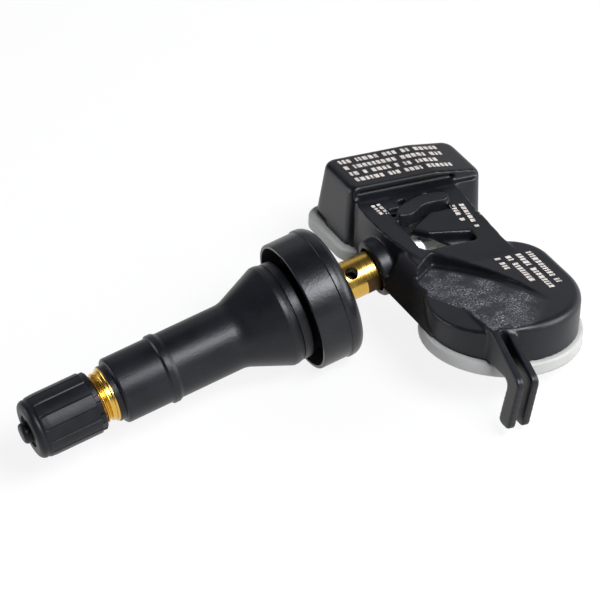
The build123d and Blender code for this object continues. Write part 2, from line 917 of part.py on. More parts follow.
# Contact tab from the top of the cell, down its side and through the duct to the board
with BuildPart() as positive_tab:
    with BuildSketch(across_plane(positive_along)):
        with BuildLine():
            Polyline(
                (tab_root_across, cell_top),
                (tab_root_across, cell_top + tab_thickness),
                (tab_drop_across + tab_thickness, cell_top + tab_thickness),
                (tab_drop_across + tab_thickness, board_bottom),
                (tab_end_across, board_bottom),
                (tab_end_across, board_bottom - tab_thickness),
                (tab_drop_across, board_bottom - tab_thickness),
                (tab_drop_across, cell_top),
                close=True,
            )
        make_face()
    extrude(amount=tab_width)
positive_tab.part.label = "positive_tab"
export_step(positive_tab.part, "parts/positive_tab.step")

# Contact tab under the cell, through the duct and up to the board
with BuildPart() as negative_tab:
    with BuildSketch(across_plane(negative_along)):
        with BuildLine():
            Polyline(
                (tab_root_across, cell_bottom),
                (tab_root_across, cell_bottom - tab_thickness),
                (tab_end_across, cell_bottom - tab_thickness),
                (tab_end_across, board_bottom),
                (tab_end_across - tab_thickness, board_bottom),
                (tab_end_across - tab_thickness, cell_bottom),
                close=True,
            )
        make_face()
    extrude(amount=tab_width)
negative_tab.part.label = "negative_tab"
export_step(negative_tab.part, "parts/negative_tab.step")

# Circuit board, seated against the step inside the box
with BuildPart() as circuit_board:
    board_inset = wall + board_fit + (board_top - shell_bottom) * tan(radians(room_draft))
    with BuildSketch(deck.offset(board_bottom)):
        with Locations((box_along, box_across)):
            Rectangle(box_length - 2 * board_inset, box_width - 2 * board_inset)
    extrude(amount=board_thickness)
circuit_board.part.label = "circuit_board"
export_step(circuit_board.part, "parts/circuit_board.step")

# Pressure sensor chip on the underside of the board, over the air hole
with BuildPart() as sensor_chip:
    with BuildSketch(deck.offset(shell_bottom + port_seal_height)):
        with Locations((chip_along, chip_across)):
            Rectangle(chip_size, chip_size)
    extrude(amount=board_rise - port_seal_height)
    chamfer(sensor_chip.edges().filter_by(Axis((0, 0, 0), deck.z_dir)), chip_edge)
sensor_chip.part.label = "sensor_chip"
export_step(sensor_chip.part, "parts/sensor_chip.step")

# Seal between the chip and the cover's air hole
with BuildPart() as port_seal:
    with BuildSketch(deck.offset(shell_bottom)):
        with Locations((chip_along, chip_across)):
            Circle(port_seal_radius)
            Circle(air_hole_radius, mode=Mode.SUBTRACT)
    extrude(amount=port_seal_height)
port_seal.part.label = "port_seal"
export_step(port_seal.part, "parts/port_seal.step")

# Low-frequency receiving coil: winding between two square flanges
with BuildPart() as lf_coil:
    with BuildSketch(deck.offset(board_top)):
        with Locations((coil_along, coil_across)):
            with GridLocations(coil_length - coil_flange, 0, 2, 1):
                Rectangle(coil_flange, coil_height)
    extrude(amount=coil_height)
    with BuildSketch(across_plane(coil_along - coil_length / 2 + coil_flange / 2)):
        with Locations((coil_across, board_top + coil_height / 2)):
            RectangleRounded(
                coil_height - 2 * coil_core_inset,
                coil_height - 2 * coil_core_inset,
                coil_core_inset,
            )
    extrude(amount=coil_length - coil_flange)
lf_coil.part.label = "lf_coil"
export_step(lf_coil.part, "parts/lf_coil.step")

# Timing crystal in its can
with BuildPart() as crystal:
    with BuildSketch(deck.offset(board_top)):
        with Locations((crystal_along, crystal_across)):
            RectangleRounded(crystal_length, crystal_width, crystal_edge)
    extrude(amount=crystal_height)
crystal.part.label = "crystal"
export_step(crystal.part, "parts/crystal.step")

# Chip capacitors in a row
with BuildPart() as smd_capacitors:
    with BuildSketch(deck.offset(board_top)):
        with Locations((capacitor_along, capacitor_across)):
            with GridLocations(capacitor_pitch, 0, capacitor_count, 1):
                Rectangle(capacitor_width, capacitor_length)
    extrude(amount=capacitor_height)
smd_capacitors.part.label = "smd_capacitors"
export_step(smd_capacitors.part, "parts/smd_capacitors.step")

# Bent sheet antenna standing on the board
with BuildPart() as antenna_strip:
    antenna_back = antenna_front + antenna_span
    antenna_top = board_top + antenna_height
    with BuildSketch(along_plane(antenna_across)):
        with BuildLine():
            FilletPolyline(
                (antenna_front, board_top),
                (antenna_front, antenna_top),
                (antenna_back, antenna_top),
                (antenna_back, board_top),
                (antenna_back - antenna_sheet, board_top),
                (antenna_back - antenna_sheet, antenna_top - antenna_sheet),
                (antenna_front + antenna_sheet, antenna_top - antenna_sheet),
                (antenna_front + antenna_sheet, board_top),
                radius=[
                    0, antenna_bend, antenna_bend, 0,
                    0, antenna_bend - antenna_sheet, antenna_bend - antenna_sheet, 0,
                ],
                close=True,
            )
        make_face()
    extrude(amount=antenna_width)
antenna_strip.part.label = "antenna_strip"
export_step(antenna_strip.part, "parts/antenna_strip.step")
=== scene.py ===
import math
import random

import bmesh
import bpy
from mathutils import Matrix, Vector, noise
from mathutils.bvhtree import BVHTree


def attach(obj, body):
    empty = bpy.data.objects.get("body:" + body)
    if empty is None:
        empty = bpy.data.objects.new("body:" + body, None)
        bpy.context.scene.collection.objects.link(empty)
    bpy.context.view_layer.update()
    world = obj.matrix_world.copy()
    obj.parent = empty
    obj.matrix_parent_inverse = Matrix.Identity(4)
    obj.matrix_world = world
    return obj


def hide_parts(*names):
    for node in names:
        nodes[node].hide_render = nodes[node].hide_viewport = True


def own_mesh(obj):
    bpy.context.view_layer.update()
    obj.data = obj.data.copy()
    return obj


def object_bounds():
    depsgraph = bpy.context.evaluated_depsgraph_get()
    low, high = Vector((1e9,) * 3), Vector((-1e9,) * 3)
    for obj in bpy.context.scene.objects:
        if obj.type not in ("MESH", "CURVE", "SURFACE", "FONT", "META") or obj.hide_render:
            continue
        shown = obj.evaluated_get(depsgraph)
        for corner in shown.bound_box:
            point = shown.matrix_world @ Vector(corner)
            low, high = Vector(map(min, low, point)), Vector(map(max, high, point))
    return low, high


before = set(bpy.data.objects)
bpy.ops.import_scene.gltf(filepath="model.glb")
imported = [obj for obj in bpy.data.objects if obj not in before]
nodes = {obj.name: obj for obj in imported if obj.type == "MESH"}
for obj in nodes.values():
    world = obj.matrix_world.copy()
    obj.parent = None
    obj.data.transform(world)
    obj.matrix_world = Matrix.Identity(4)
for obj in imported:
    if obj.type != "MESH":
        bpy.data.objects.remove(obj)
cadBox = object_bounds()
mm = 0.001  # sizes below are in millimetres, the frame is in metres
tiny = 1e-6  # mm within which two radii are the same
print("frame loaded:", len(nodes), "solids")

# The housing's deck leans down towards its back; deckTurn takes (along, across, height) to the frame
deckLean = 15.4
deckTurn = Matrix.Rotation(math.radians(deckLean), 4, "Y")


def hexColour(code):
    channels = [int(code[i:i + 2], 16) / 255 for i in (1, 3, 5)]
    linear = [c / 12.92 if c <= 0.04045 else ((c + 0.055) / 1.055) ** 2.4 for c in channels]
    return (*linear, 1.0)


def addNode(tree, kind, settings=None, links=None):
    # settings name attributes or sockets, links give the socket that feeds an input
    node = tree.nodes.new(kind)
    for key, value in (settings or {}).items():
        if isinstance(key, str) and hasattr(node, key):
            setattr(node, key, value)
        else:
            node.inputs[key].default_value = value
    for key, source in (links or {}).items():
        tree.links.new(source, node.inputs[key])
    return node


def newMaterial(name, settings):
    material = bpy.data.materials.new(name)
    material.use_nodes = True
    tree = material.node_tree
    tree.nodes.clear()
    shader = addNode(tree, "ShaderNodeBsdfPrincipled", settings)
    addNode(tree, "ShaderNodeOutputMaterial", links={"Surface": shader.outputs["BSDF"]})
    place = addNode(tree, "ShaderNodeTexCoord").outputs["Object"]
    return material, tree, shader, place


cloudBand = (0.35, 0.65)  # part of the noise over which a moulded colour goes from dark to light


def mouldedSurface(name, look):
    # Cloudy colour, uneven gloss and fine grain: what every moulded piece here has in common
    material, tree, shader, place = newMaterial(name, {
        "IOR": look["ior"],
        "Specular IOR Level": look["specular"],
    })
    cloud = addNode(tree, "ShaderNodeTexNoise", {
        "Scale": 1 / (look["cloudMm"] * mm),
        "Detail": 4.0,
    }, {"Vector": place})
    spread = addNode(tree, "ShaderNodeMapRange", {
        "From Min": cloudBand[0],
        "From Max": cloudBand[1],
    }, {"Value": cloud.outputs["Fac"]})
    colour = addNode(tree, "ShaderNodeMix", {
        "data_type": "RGBA",
        6: hexColour(look["dark"]),
        7: hexColour(look["light"]),
    }, {0: spread.outputs["Result"]})
    tree.links.new(colour.outputs[2], shader.inputs["Base Color"])
    grain = addNode(tree, "ShaderNodeTexNoise", {
        "Scale": 1 / (look["grainMm"] * mm),
        "Detail": 3.0,
        "Roughness": 0.6,
    }, {"Vector": place})
    gloss = addNode(tree, "ShaderNodeMapRange", {
        "To Min": look["roughness"][0],
        "To Max": look["roughness"][1],
    }, {"Value": cloud.outputs["Fac"]})
    tree.links.new(gloss.outputs["Result"], shader.inputs["Roughness"])
    bump = addNode(tree, "ShaderNodeBump", {
        "Distance": look["grainHeightMm"] * mm,
    }, {"Height": grain.outputs["Fac"]})
    tree.links.new(bump.outputs["Normal"], shader.inputs["Normal"])
    return material, tree, shader, place


def turnedMetal(name, look):
    # Tool lines run round the valve's axis, so the noise is stretched across it
    material, tree, shader, place = newMaterial(name, {"Metallic": 1.0})
    lines = addNode(tree, "ShaderNodeMapping", {
        "Scale": (1 / (look["lineMm"] * mm), 1 / (look["runMm"] * mm), 1 / (look["runMm"] * mm)),
    }, {"Vector": place})
    cut = addNode(tree, "ShaderNodeTexNoise", {
        "Scale": 1.0,
        "Detail": 2.0,
    }, {"Vector": lines.outputs["Vector"]})
    colour = addNode(tree, "ShaderNodeMix", {
        "data_type": "RGBA",
        6: hexColour(look["dark"]),
        7: hexColour(look["light"]),
    }, {0: cut.outputs["Fac"]})
    tree.links.new(colour.outputs[2], shader.inputs["Base Color"])
    gloss = addNode(tree, "ShaderNodeMapRange", {
        "To Min": look["roughness"][0],
        "To Max": look["roughness"][1],
    }, {"Value": cut.outputs["Fac"]})
    tree.links.new(gloss.outputs["Result"], shader.inputs["Roughness"])
    bump = addNode(tree, "ShaderNodeBump", {
        "Distance": look["lineHeightMm"] * mm,
    }, {"Height": cut.outputs["Fac"]})
    tree.links.new(bump.outputs["Normal"], shader.inputs["Normal"])
    return material


# EPDM rubber, compression moulded: blue-black, its broad sheen broken up by a fine orange peel
rubberLook = {
    "dark": "#0b0c10", "light": "#14151b", "cloudMm": 5.0,
    "roughness": (0.32, 0.46), "ior": 1.52, "specular": 0.3,
    "grainMm": 0.38, "grainHeightMm": 0.028,
}
rubberSkin = mouldedSurface("EPDM rubber, compression moulded", rubberLook)[0]
# The flange comes off a polished face of the mould, the rim groove off a blasted one whose colour is darkened
# as painted shade
flangeLook = {**rubberLook, "roughness": (0.26, 0.38), "specular": 0.36}
flangeSkin = mouldedSurface("EPDM rubber, polished mould face", flangeLook)[0]
# Painted shade: the groove's rubber is coloured darker than the rest for the shade in the recess; its dull
# finish is real
grooveShadeLook = {**rubberLook, "dark": "#050507", "light": "#09090b", "roughness": (0.7, 0.85), "specular": 0.1}
grooveShadeSkin = mouldedSurface("EPDM rubber, blasted mould face, painted shade", grooveShadeLook)[0]

# Nylon, injection moulded: a little greyer and duller than the rubber, with a satin mould finish
capLook = {
    "dark": "#0e0f13", "light": "#17181d", "cloudMm": 3.0,
    "roughness": (0.36, 0.5), "ior": 1.53, "specular": 0.23,
    "grainMm": 0.35, "grainHeightMm": 0.016,
}
capSkin = mouldedSurface("Nylon, injection moulded", capLook)[0]

# Glass-filled nylon, injection moulded: near black and satin, with a fine grain
housingLook = {
    "dark": "#0d0e12", "light": "#15161b", "cloudMm": 6.0,
    "roughness": (0.3, 0.44), "ior": 1.54, "specular": 0.3,
    "grainMm": 0.3, "grainHeightMm": 0.01,
}
# Sunk patch on the disc: spark-eroded mould face, drawn coarse enough to show; its pale crest specks are
# painted glints
gritLook = {
    "ground": "#292a2f", "crest": "#b2b3b8", "roughness": 0.6,
    "grainMm": 0.26, "heightMm": 0.1, "glintBand": (0.5, 0.72), "clusterMm": 3.2, "clusterBand": (0.4, 0.6),
}
housingSkin, housingTree, housingShader, housingPlace = mouldedSurface(
    "Glass-filled nylon, injection moulded", housingLook,
)


def addGrit(tree, shader, place, look):
    # The mesh's grit attribute says where the eroded face is
    mask = addNode(tree, "ShaderNodeAttribute", {"attribute_name": "grit"}).outputs["Fac"]
    speck = addNode(tree, "ShaderNodeTexNoise", {
        "Scale": 1 / (look["grainMm"] * mm),
        "Detail": 5.0,
        "Roughness": 0.7,
    }, {"Vector": place})
    cluster = addNode(tree, "ShaderNodeTexNoise", {
        "Scale": 1 / (look["clusterMm"] * mm),
        "Detail": 3.0,
    }, {"Vector": place})
    patchy = addNode(tree, "ShaderNodeMapRange", {
        "From Min": look["clusterBand"][0],
        "From Max": look["clusterBand"][1],
    }, {"Value": cluster.outputs["Fac"]})
    # Pale crest specks: painted glints over the grit's real relief and roughness
    crest = addNode(tree, "ShaderNodeMapRange", {
        "From Min": look["glintBand"][0],
        "From Max": look["glintBand"][1],
    }, {"Value": speck.outputs["Fac"]})
    share = addNode(tree, "ShaderNodeMath", {"operation": "MULTIPLY"}, {
        0: crest.outputs["Result"],
        1: patchy.outputs["Result"],
    })
    eroded = addNode(tree, "ShaderNodeMix", {
        "data_type": "RGBA",
        6: hexColour(look["ground"]),
        7: hexColour(look["crest"]),
    }, {0: share.outputs["Value"]})
    plain = shader.inputs["Base Color"].links[0].from_socket
    colour = addNode(tree, "ShaderNodeMix", {"data_type": "RGBA"}, {0: mask, 6: plain, 7: eroded.outputs[2]})
    tree.links.new(colour.outputs[2], shader.inputs["Base Color"])
    smooth = shader.inputs["Roughness"].links[0].from_socket
    gloss = addNode(tree, "ShaderNodeMix", {3: look["roughness"]}, {0: mask, 2: smooth})
    tree.links.new(gloss.outputs[0], shader.inputs["Roughness"])
    height = addNode(tree, "ShaderNodeMath", {"operation": "MULTIPLY"}, {0: speck.outputs["Fac"], 1: mask})
    grain = shader.inputs["Normal"].links[0].from_socket
    bump = addNode(tree, "ShaderNodeBump", {"Distance": look["heightMm"] * mm}, {
        "Height": height.outputs["Value"],
        "Normal": grain,
    })
    tree.links.new(bump.outputs["Normal"], shader.inputs["Normal"])


addGrit(housingTree, housingShader, housingPlace, gritLook)

# Natural PBT, injection moulded: pale grey, a little waxy, smooth mould face
coverLook = {
    "dark": "#9c9c98", "light": "#a8a8a4", "cloudMm": 8.0,
    "roughness": (0.42, 0.55), "ior": 1.5, "specular": 0.5,
    "grainMm": 0.4, "grainHeightMm": 0.006,
}
coverSkin = mouldedSurface("Natural PBT, injection moulded", coverLook)[0]

# Brass, turned bright: warm yellow with fine tool lines; the lines are drawn wider than life to show
brassLook = {
    "dark": "#d0a346", "light": "#e3bf64", "roughness": (0.2, 0.32),
    "lineMm": 0.22, "runMm": 6.0, "lineHeightMm": 0.0008,
}
brassTurned = turnedMetal("Brass, turned", brassLook)

# Drilled and milled brass, rough: its dull brown is painted shade in the bores and a painted dark reflection
# on the flats
drilledShadeLook = {
    "dark": "#3a2812", "light": "#57401f", "roughness": (0.45, 0.6),
    "lineMm": 0.22, "runMm": 6.0, "lineHeightMm": 0.003,
}
brassDrilledShade = turnedMetal("Brass, drilled and milled, painted shade", drilledShadeLook)

# Zinc-plated steel: cool silver, lightly scratched
steelLook = {
    "dark": "#c4c6c8", "light": "#dedfe0", "roughness": (0.36, 0.5),
    "lineMm": 0.2, "runMm": 3.0, "lineHeightMm": 0.003,
}
steelPlated = turnedMetal("Zinc-plated steel", steelLook)

# Nitrile rubber, cut from sheet: flat black
sealLook = {
    "dark": "#151515", "light": "#1b1b1b", "cloudMm": 3.0,
    "roughness": (0.6, 0.75), "ior": 1.52, "specular": 0.4,
    "grainMm": 0.2, "grainHeightMm": 0.008,
}
sealRubber = mouldedSurface("Nitrile rubber, cut from sheet", sealLook)[0]

# Solder mask on glass-epoxy: green lacquer over a woven sheet
boardLook = {
    "dark": "#0f4a26", "light": "#1a6234", "cloudMm": 1.6,
    "roughness": (0.25, 0.4), "ior": 1.5, "specular": 0.5,
    "grainMm": 0.5, "grainHeightMm": 0.01,
}
boardMask = mouldedSurface("Solder mask on glass-epoxy", boardLook)[0]

# Epoxy, transfer moulded: the chip's dull black pack
chipLook = {
    "dark": "#1d1d1f", "light": "#28282a", "cloudMm": 1.5,
    "roughness": (0.55, 0.7), "ior": 1.55, "specular": 0.4,
    "grainMm": 0.15, "grainHeightMm": 0.01,
}
chipEpoxy = mouldedSurface("Epoxy, transfer moulded", chipLook)[0]

# Enamelled copper wire, wound: brown-red, each turn catching the light
coilLook = {
    "dark": "#6a2a12", "light": "#a3542a", "roughness": (0.2, 0.3),
    "lineMm": 0.2, "runMm": 5.0, "lineHeightMm": 0.05,
}
coilWire = turnedMetal("Enamelled copper wire, wound", coilLook)

# Ceramic, fired: the capacitors' tan body
ceramicLook = {
    "dark": "#a88f68", "light": "#bca47c", "cloudMm": 0.6,
    "roughness": (0.45, 0.6), "ior": 1.6, "specular": 0.5,
    "grainMm": 0.12, "grainHeightMm": 0.006,
}
ceramicFired = mouldedSurface("Ceramic, fired", ceramicLook)[0]

# Laser marking: nylon foamed to a pale warm grey, matt and a little patchy
markLook = {
    "dark": "#a59f99", "light": "#cfc8c1", "cloudMm": 0.7,
    "roughness": (0.7, 0.85), "ior": 1.5, "specular": 0.3,
    "grainMm": 0.15, "grainHeightMm": 0.01,
}
markFoam = mouldedSurface("Nylon, laser foamed", markLook)[0]
print("materials made:", len(bpy.data.materials))


def addPiece(name, mesh, body, material, replaced=None):
    piece = bpy.data.objects.new(name, mesh)
    bpy.context.scene.collection.objects.link(piece)
    mesh.materials.clear()
    mesh.materials.append(material)
    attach(piece, body)
    if replaced:
        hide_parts(replaced)
    print("piece", name, "has", len(mesh.polygons), "faces")
    return piece


def evaluatedMesh(piece):
    # The mesh as its modifiers leave it; the helper object goes
    depsgraph = bpy.context.evaluated_depsgraph_get()
    mesh = bpy.data.meshes.new_from_object(piece.evaluated_get(depsgraph), depsgraph=depsgraph)
    bpy.data.objects.remove(piece)
    return mesh


def roundCorners(points, steps=6):
    # Points are (x, radius, corner radius) in mm; each rounded corner becomes an arc
    path = []
    for index, (x, radius, corner) in enumerate(points):
        here = Vector((x, radius))
        if corner == 0:
            path.append(here)
            continue
        before = (Vector(points[index - 1][:2]) - here).normalized()
        after = (Vector(points[(index + 1) % len(points)][:2]) - here).normalized()
        half = before.angle(after) / 2
        centre = here + (before + after).normalized() * corner / math.sin(half)
        start = here + before * corner / math.tan(half) - centre
        end = here + after * corner / math.tan(half) - centre
        path += [centre + start.slerp(end, step / steps) * corner for step in range(steps + 1)]
    return path


def turnProfile(path, segments, radiusAt=None, closed=False):
    # Turns a path of (x, radius) in mm about the valve's axis
    shape = bmesh.new()
    rings = []
    for x, radius in path:
        if radius < tiny:
            rings.append([shape.verts.new((x * mm, 0, 0))])
            continue
        ring = []
        for step in range(segments):
            angle = 2 * math.pi * step / segments
            reach = (radiusAt(x, radius, angle) if radiusAt else radius) * mm
            ring.append(shape.verts.new((x * mm, reach * math.cos(angle), reach * math.sin(angle))))
        rings.append(ring)
    pairs = list(zip(rings, rings[1:])) + ([(rings[-1], rings[0])] if closed else [])
    for first, second in pairs:
        for step in range(segments):
            corners = [
                first[step % len(first)], first[(step + 1) % len(first)],
                second[(step + 1) % len(second)], second[step % len(second)],
            ]
            shape.faces.new(list(dict.fromkeys(corners)))
    bmesh.ops.recalc_face_normals(shape, faces=shape.faces)
    mesh = bpy.data.meshes.new("turned")
    shape.to_mesh(mesh)
    shape.free()
    return mesh


def smoothShade(mesh, sharpDegrees=35):
    mesh.shade_smooth()
    mesh.set_sharp_from_angle(angle=math.radians(sharpDegrees))


# Rubber body of the valve, turned: step, ringed cylinder, flare, lip, neck and flange
rubberSizes = {
    "front": -30.55, "stepRadius": 4.35, "step": -29.66, "stepEdge": 0.12, "radius": 5.1, "edge": 0.45,
    "ridge": -22.4, "ridgeWidth": 1.7, "ridgeHeight": 0.3, "ridgeEdges": (0.15, 0.18, 0.2, 0.2),
    "flare": -10.0, "flareRoot": 4.0,
    "lip": -3.4, "lipRadius": 7.9, "lipWidth": 0.6, "lipBevel": 0.8, "lipEdges": (0.5, 0.15),
    "seamWidth": 0.14, "seamDepth": 0.16, "seamEdge": 0.03, "seamFloor": 0.01,
    "neckRadius": 7.7, "neckEnd": -0.5,
    "grooveRadius": 6.9, "grooveStart": 0.3, "grooveEdge": 0.3, "grooveRoot": 0.35, "grooveMargin": 0.1,
    "skirt": 0.0, "skirtRadius": 10.05, "skirtLip": 0.55, "skirtDepth": 2.6, "skirtEdges": (0.15, 0.2),
    "parting": 4.67, "partingRise": 0.02, "partingEdges": (0.06, 0.08),
    "flangeRadius": 10.24, "rear": 7.1, "rearEdge": 1.9,
    "bore": 3.6, "boreEnd": 3.5, "tailBore": 3.025, "segments": 192,
}


def makeRubber(sizes):
    ridgeRear = sizes["ridge"] + sizes["ridgeWidth"]
    crest = sizes["radius"] + sizes["ridgeHeight"]
    bevel = sizes["lip"] + sizes["lipWidth"]
    seam = bevel + sizes["lipBevel"]
    path = roundCorners([
        (sizes["front"], sizes["bore"], 0),
        (sizes["front"], sizes["stepRadius"], sizes["stepEdge"]),
        (sizes["step"], sizes["stepRadius"], sizes["stepEdge"]),
        (sizes["step"], sizes["radius"], sizes["edge"]),
        (sizes["ridge"], sizes["radius"], sizes["ridgeEdges"][0]),
        (sizes["ridge"] + sizes["ridgeHeight"], crest, sizes["ridgeEdges"][1]),
        (ridgeRear - 2 * sizes["ridgeHeight"], crest, sizes["ridgeEdges"][2]),
        (ridgeRear, sizes["radius"], sizes["ridgeEdges"][3]),
        (sizes["flare"], sizes["radius"], sizes["flareRoot"]),
        (sizes["lip"], sizes["lipRadius"], sizes["lipEdges"][0]),
        (bevel, sizes["lipRadius"], sizes["lipEdges"][1]),
        (seam, sizes["neckRadius"], sizes["seamEdge"]),
        (seam + sizes["seamWidth"] / 2, sizes["neckRadius"] - sizes["seamDepth"], sizes["seamFloor"]),
        (seam + sizes["seamWidth"], sizes["neckRadius"], sizes["seamEdge"]),
        (sizes["neckEnd"], sizes["neckRadius"], sizes["grooveEdge"]),
        (sizes["grooveStart"], sizes["grooveRadius"], sizes["grooveEdge"]),
        (sizes["skirtDepth"], sizes["grooveRadius"], sizes["grooveRoot"]),
        (sizes["skirtDepth"], sizes["skirtRadius"] - 3 * sizes["skirtLip"], sizes["grooveEdge"]),
        (sizes["skirt"], sizes["skirtRadius"] - sizes["skirtLip"], sizes["skirtEdges"][0]),
        (sizes["skirt"], sizes["skirtRadius"], sizes["skirtEdges"][1]),
        (sizes["parting"], sizes["skirtRadius"], sizes["partingEdges"][0]),
        (sizes["parting"] + sizes["partingRise"], sizes["flangeRadius"], sizes["partingEdges"][1]),
        (sizes["rear"], sizes["flangeRadius"], sizes["rearEdge"]),
        (sizes["rear"], sizes["tailBore"], 0),
        (sizes["boreEnd"], sizes["tailBore"], 0),
        (sizes["boreEnd"], sizes["bore"], 0),
    ])
    mesh = turnProfile(path, sizes["segments"], closed=True)
    smoothShade(mesh)
    body = addPiece("rubber_body", mesh, "sensor", rubberSkin, "valve_rubber")
    mesh.materials.append(flangeSkin)
    mesh.materials.append(grooveShadeSkin)
    # The flange's outside is polished; the groove's walls and floor are dull and painted darker as shade
    grooveEnd = sizes["skirtDepth"] + sizes["grooveMargin"]
    grooveFloor = sizes["grooveRadius"] - sizes["grooveMargin"]
    for face in mesh.polygons:
        along, radius = face.center.x / mm, math.hypot(face.center.y, face.center.z) / mm
        if radius > sizes["skirtRadius"] - sizes["skirtLip"]:
            face.material_index = 1
        # Groove faces get the rubber that is painted darker as shade
        elif sizes["neckEnd"] < along < grooveEnd and radius > grooveFloor:
            face.material_index = 2
    return body


makeRubber(rubberSizes)

# Dust cap: slight facets with thin grooves between, notched band at the mouth, rim and nub on the closed end
capSizes = {
    "nubTip": -44.64, "nubRadius": 1.6, "nubEdge": 0.55, "nubFoot": 0.15,
    "end": -43.5, "rimDepth": 0.45, "rimInner": 2.5, "rimRadius": 4.55, "rimEdge": 0.95, "rimInnerEdge": 0.2,
    "hollow": 1.15, "hollowDepth": 0.16, "hollowWidth": 0.5, "taper": 2.5, "radius": 4.78,
    "mouth": -32.7, "mouthEdges": (0.2, 0.12), "bore": 3.97, "inner": -41.4,
    "bandWidth": 0.95, "bandRadius": 4.55, "bandEdge": 0.12, "bandCorners": (0.1, 0.04),
    "facets": 14, "flatness": 0.3, "facetStart": 1.4, "facetFade": 0.5,
    "grooveDepth": 0.13, "grooveShare": 0.15, "notchDepth": 0.22, "notchShare": 0.42,
    "facetSegments": 24, "stations": 40, "edgeSteps": 8, "sharpDegrees": 30,
}


def makeCap(sizes):
    bandStart = sizes["mouth"] - sizes["bandWidth"]
    bandTop = bandStart + sizes["bandEdge"]

    def faceted(x, radius, angle):
        # Facets and grooves on the skirt, notches in the band, and the rim and the bore left round
        if radius <= sizes["bore"] or x <= sizes["end"] + sizes["facetStart"]:
            return radius
        share = (angle * sizes["facets"] / (2 * math.pi)) % 1 - 0.5
        if x > bandTop:
            return radius - (sizes["notchDepth"] if abs(share) < sizes["notchShare"] / 2 else 0.0)
        fade = min(1.0, (x - sizes["end"] - sizes["facetStart"]) / sizes["facetFade"])
        half = math.pi / sizes["facets"]
        facet = sizes["flatness"] * radius * (1 - math.cos(half) / math.cos(2 * half * share))
        groove = max(0.0, 1 - (0.5 - abs(share)) / (sizes["grooveShare"] / 2)) * sizes["grooveDepth"]
        return radius - (facet + groove) * fade

    def skirtRadius(x):
        # Slight taper to the rim, with a shallow hollow behind it
        out = x - sizes["end"]
        taper = (sizes["radius"] - sizes["rimRadius"]) * max(0.0, 1 - out / sizes["taper"])
        hollow = sizes["hollowDepth"] * math.exp(-((out - sizes["hollow"]) / (sizes["hollowWidth"] / 2)) ** 2)
        return sizes["radius"] - taper - hollow

    front = roundCorners([
        (sizes["nubTip"], 0, 0),
        (sizes["nubTip"], sizes["nubRadius"], sizes["nubEdge"]),
        (sizes["end"] + sizes["rimDepth"], sizes["nubRadius"], sizes["nubFoot"]),
        (sizes["end"] + sizes["rimDepth"], sizes["rimInner"], sizes["rimInnerEdge"]),
        (sizes["end"], sizes["rimInner"], sizes["rimInnerEdge"]),
        (sizes["end"], sizes["rimRadius"], sizes["rimEdge"]),
        (sizes["end"] + 2 * sizes["rimEdge"], sizes["rimRadius"], 0),
    ], sizes["edgeSteps"])[:-1]
    skirtStart = sizes["end"] + sizes["rimEdge"]
    skirt = []
    for step in range(1, sizes["stations"]):
        x = skirtStart + (bandStart - skirtStart) * step / sizes["stations"]
        skirt.append(Vector((x, skirtRadius(x))))
    mouth = roundCorners([
        (skirtStart, sizes["radius"], 0),
        (bandStart, sizes["radius"], sizes["bandCorners"][0]),
        (bandTop, sizes["bandRadius"], sizes["bandCorners"][1]),
        (sizes["mouth"], sizes["bandRadius"], sizes["mouthEdges"][0]),
        (sizes["mouth"], sizes["bore"], sizes["mouthEdges"][1]),
        (sizes["inner"], sizes["bore"], 0),
        (sizes["inner"], 0, 0),
    ])[1:]
    mesh = turnProfile(front + skirt + mouth, sizes["facets"] * sizes["facetSegments"], faceted)
    smoothShade(mesh, sizes["sharpDegrees"])
    return addPiece("dust_cap", mesh, "cap", capSkin, "valve_cap")


makeCap(capSizes)

# Brass stem: valve thread, shoulder, barrel and tail with its cross port, flats and screw hole
stemSizes = {
    "tip": -40.6, "threadRadius": 3.85, "chamfer": 0.5, "pitch": 0.794, "threadDepth": 0.4, "perTurn": 24,
    "shoulder": -30.85, "shoulderWidth": 0.3, "shoulderRadius": 4.175, "shoulderEdge": 0.08,
    "barrelRadius": 3.6, "barrelEnd": 3.5, "tailRadius": 3.025, "tailEnd": 17.9, "tailChamfer": 0.4,
    "mouthBore": 2.65, "seat": -35.6, "seatCone": 0.8, "seatBore": 2.1, "seatEnd": -22.2,
    "airBore": 1.2, "airEnd": 11.65, "screwBore": 1.5, "screwEnd": 12.8,
    "port": 9.7, "portRadius": 0.98, "portTurn": 37.0, "portSegments": 48, "boreSkin": 0.45,
    "flatStart": 11.4, "flatAcross": 5.1, "flatTurn": 18.0, "segments": 144, "sharpDegrees": 30,
}


def stemCutter(sizes):
    # One cutter: the cross port's drill and two blocks that leave the tail's flats
    cutter = bmesh.new()
    length = 6 * sizes["tailRadius"] * mm
    port = bmesh.ops.create_cone(
        cutter, cap_ends=True, segments=sizes["portSegments"], depth=length,
        radius1=sizes["portRadius"] * mm, radius2=sizes["portRadius"] * mm,
    )
    turn = Matrix.Rotation(math.radians(sizes["portTurn"]), 4, "X")
    station = Matrix.Translation((sizes["port"] * mm, 0, 0))
    bmesh.ops.transform(cutter, matrix=station @ turn, verts=port["verts"])
    run = sizes["tailEnd"] - sizes["flatStart"]
    for side in (-1, 1):
        block = bmesh.ops.create_cube(cutter, size=1.0)["verts"]
        reach = sizes["flatAcross"] / 2 + sizes["tailRadius"]
        place = Vector((sizes["flatStart"] + run, side * reach, 0)) * mm
        grow = Matrix.Diagonal((2 * run * mm, 2 * sizes["tailRadius"] * mm, length, 1))
        turn = Matrix.Rotation(math.radians(sizes["flatTurn"]), 4, "X")
        bmesh.ops.transform(cutter, matrix=turn @ Matrix.Translation(place) @ grow, verts=block)
    mesh = bpy.data.meshes.new("cutter")
    cutter.to_mesh(mesh)
    cutter.free()
    tool = bpy.data.objects.new("cutter", mesh)
    bpy.context.scene.collection.objects.link(tool)
    return tool


